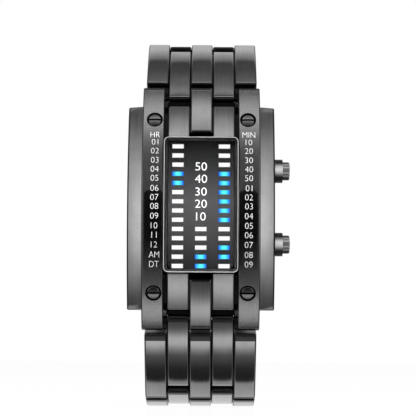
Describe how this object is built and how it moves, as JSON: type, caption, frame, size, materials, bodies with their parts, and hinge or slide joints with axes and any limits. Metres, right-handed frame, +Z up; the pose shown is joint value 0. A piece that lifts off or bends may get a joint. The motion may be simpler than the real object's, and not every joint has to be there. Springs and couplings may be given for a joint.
{
  "type": "binary watch",
  "caption": "Wristwatch with a tall rectangular case, a display of small light bars under flat glass, two push buttons, and a five-column steel bracelet with a folding clasp.",
  "frame": {"origin": "centre of the case back's flat outer face", "axes": "+X towards 3 o'clock and the push buttons, +Y from the dial out through the case back towards the wrist and clasp, +Z up towards 12 o'clock"},
  "size_m": [0.0356, 0.0683, 0.0839],
  "materials": {
    "dark_steel": "dark plated, brushed lengthways",
    "bright_steel": "grey plated, fine brushed",
    "polished_black": "black plated, polished",
    "plain_steel": "plain machined",
    "crystal": "flat polished mineral glass",
    "display_panel": "dark grey satin",
    "white_light": "glowing white",
    "blue_light": "glowing blue",
    "seal_rubber": "moulded",
    "board_green": "solder resist",
    "inner_plastic": "moulded black",
    "lamp_resin": "cast resin",
    "cell_steel": "bright nickel",
    "contact_brass": "stamped"
  },
  "bodies": {
    "case": {"case_body": "bright_steel", "case_back": "bright_steel", "case_back_seal": "seal_rubber", "case_back_screws": "plain_steel", "left_bezel_bar": "dark_steel", "right_bezel_bar": "dark_steel", "bezel_screws": "polished_black", "centre_lugs": "dark_steel", "case_end_pins": "plain_steel", "display_crystal": "crystal", "crystal_gasket": "seal_rubber", "display_plate": "display_panel", "unlit_light_bars": "white_light", "lit_light_bars": "blue_light", "light_guide_frame": "inner_plastic", "lamp_board": "board_green", "lamp_chips": "lamp_resin", "processor_chip": "inner_plastic", "battery_tray": "inner_plastic", "coin_cell": "cell_steel", "battery_clip": "plain_steel", "button_contacts": "contact_brass", "pusher_collars": "bright_steel", "pusher_seals": "seal_rubber", "upper_pusher_spring": "plain_steel", "lower_pusher_spring": "plain_steel"},
    "upper_pusher": {"upper_pusher": "bright_steel", "upper_pusher_ring": "plain_steel"},
    "lower_pusher": {"lower_pusher": "bright_steel", "lower_pusher_ring": "plain_steel"},
    "upper_link_1": {"upper_link_1_outer": "dark_steel", "upper_link_1_inner": "dark_steel", "upper_link_1_pins": "plain_steel"},
    "upper_link_2": {"upper_link_2_outer": "dark_steel", "upper_link_2_inner": "dark_steel", "upper_link_2_pins": "plain_steel"},
    "upper_link_3": {"upper_link_3_outer": "dark_steel", "upper_link_3_inner": "dark_steel", "upper_link_3_pins": "plain_steel"},
    "upper_link_4": {"upper_link_4_outer": "dark_steel", "upper_link_4_inner": "dark_steel", "upper_link_4_pins": "plain_steel"},
    "lower_link_1": {"lower_link_1_outer": "dark_steel", "lower_link_1_inner": "dark_steel", "lower_link_1_pins": "plain_steel"},
    "lower_link_2": {"lower_link_2_outer": "dark_steel", "lower_link_2_inner": "dark_steel", "lower_link_2_pins": "plain_steel"},
    "lower_link_3": {"lower_link_3_outer": "dark_steel", "lower_link_3_inner": "dark_steel", "lower_link_3_pins": "plain_steel"},
    "lower_link_4": {"lower_link_4_outer": "dark_steel", "lower_link_4_inner": "dark_steel", "lower_link_4_pins": "plain_steel"},
    "clasp_cover": {"clasp_cover": "dark_steel"},
    "clasp_middle_blade": {"clasp_middle_blade": "bright_steel", "clasp_hinge_pins": "plain_steel"},
    "clasp_long_blade": {"clasp_long_blade": "bright_steel"},
    "clasp_left_button": {"clasp_left_button": "bright_steel"},
    "clasp_right_button": {"clasp_right_button": "bright_steel"}
  },
  "joints": [
    {"name": "upper_pusher_press", "type": "slide", "parent": "case", "child": "upper_pusher", "axis": [-1, 0, 0], "range_m": [0, 0.0008], "stiffness_N_per_m": 400, "springref_m": -0.0004, "deforming": ["upper_pusher_spring"]},
    {"name": "lower_pusher_press", "type": "slide", "parent": "case", "child": "lower_pusher", "axis": [-1, 0, 0], "range_m": [0, 0.0008], "stiffness_N_per_m": 400, "springref_m": -0.0004, "deforming": ["lower_pusher_spring"]},
    {"name": "upper_hinge_1", "type": "hinge", "parent": "case", "child": "upper_link_1", "pos_m": [0, -0.00283, 0.0252], "axis": [1, 0, 0], "range_deg": [0, 30]},
    {"name": "upper_hinge_2", "type": "hinge", "parent": "upper_link_1", "child": "upper_link_2", "pos_m": [0, 0.00944, 0.03768], "axis": [1, 0, 0], "range_deg": [0, 35]},
    {"name": "upper_hinge_3", "type": "hinge", "parent": "upper_link_2", "child": "upper_link_3", "pos_m": [0, 0.02689, 0.03646], "axis": [1, 0, 0], "range_deg": [0, 35]},
    {"name": "upper_hinge_4", "type": "hinge", "parent": "upper_link_3", "child": "upper_link_4", "pos_m": [0, 0.04205, 0.02771], "axis": [1, 0, 0], "range_deg": [0, 35]},
    {"name": "lower_hinge_1", "type": "hinge", "parent": "case", "child": "lower_link_1", "pos_m": [0, -0.00283, -0.0252], "axis": [-1, 0, 0], "range_deg": [0, 30]},
    {"name": "lower_hinge_2", "type": "hinge", "parent": "lower_link_1", "child": "lower_link_2", "pos_m": [0, 0.00618, -0.0402], "axis": [-1, 0, 0], "range_deg": [0, 35]},
    {"name": "lower_hinge_3", "type": "hinge", "parent": "lower_link_2", "child": "lower_link_3", "pos_m": [0, 0.02357, -0.04218], "axis": [-1, 0, 0], "range_deg": [0, 35]},
    {"name": "lower_hinge_4", "type": "hinge", "parent": "lower_link_3", "child": "lower_link_4", "pos_m": [0, 0.03968, -0.03534], "axis": [-1, 0, 0], "range_deg": [0, 35]},
    {"name": "clasp_cover_hinge", "type": "hinge", "parent": "upper_link_4", "child": "clasp_cover", "pos_m": [0, 0.05158, 0.01303], "axis": [1, 0, 0], "range_deg": [0, 30]},
    {"name": "clasp_middle_blade_hinge", "type": "hinge", "parent": "clasp_cover", "child": "clasp_middle_blade", "pos_m": [0, 0.05224, -0.01807], "axis": [1, 0, 0], "range_deg": [0, 100]},
    {"name": "clasp_long_blade_hinge", "type": "hinge", "parent": "clasp_middle_blade", "child": "clasp_long_blade", "pos_m": [0, 0.05302, 0.00805], "axis": [-1, 0, 0], "range_deg": [0, 120]},
    {"name": "clasp_left_button_press", "type": "slide", "parent": "clasp_cover", "child": "clasp_left_button", "axis": [1, 0, 0], "range_m": [0, 0.0007], "stiffness_N_per_m": 300, "springref_m": -0.0004},
    {"name": "clasp_right_button_press", "type": "slide", "parent": "clasp_cover", "child": "clasp_right_button", "axis": [-1, 0, 0], "range_m": [0, 0.0007], "stiffness_N_per_m": 300, "springref_m": -0.0004}
  ]
}
